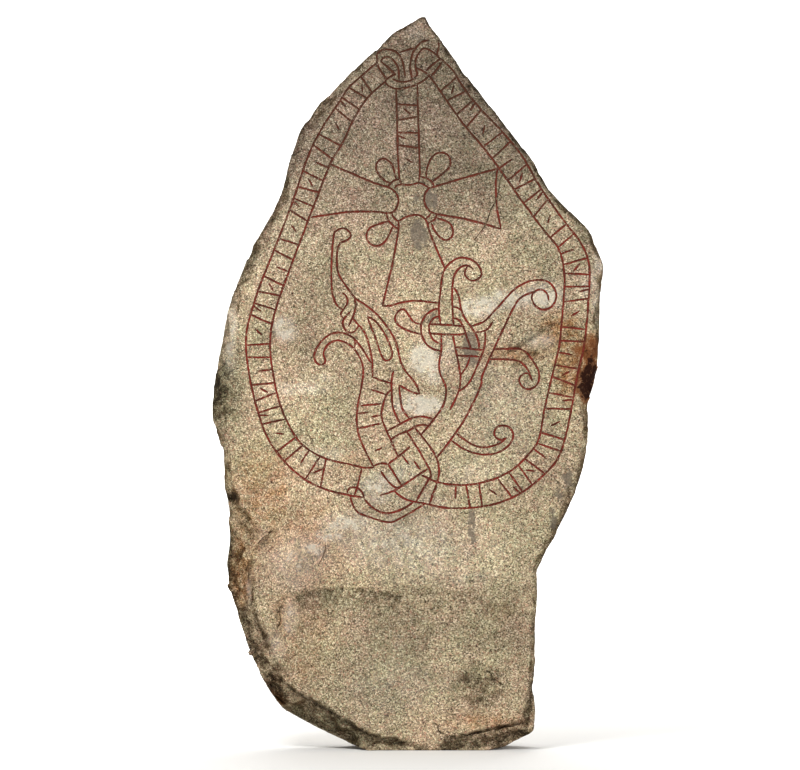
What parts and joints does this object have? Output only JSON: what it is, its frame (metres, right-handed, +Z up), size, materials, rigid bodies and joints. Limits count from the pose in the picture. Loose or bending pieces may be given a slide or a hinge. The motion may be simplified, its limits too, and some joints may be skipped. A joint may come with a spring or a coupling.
{
  "type": "rune stone",
  "caption": "Upright slab of carved granite: a serpent band with rows of strokes around a cross on a shaft, two beasts and a knot.",
  "frame": {"origin": "on the ground under the middle of the stone", "axes": "+Z up the stone, the carved face looks along -Y, +X to its right as one faces it"},
  "size_m": [1.1734, 0.2914, 2.2],
  "materials": {
    "granite": "rough, weathered, with rust-red paint in the carved lines"
  },
  "bodies": {
    "root": {"rune_stone": "granite"}
  },
  "joints": []
}
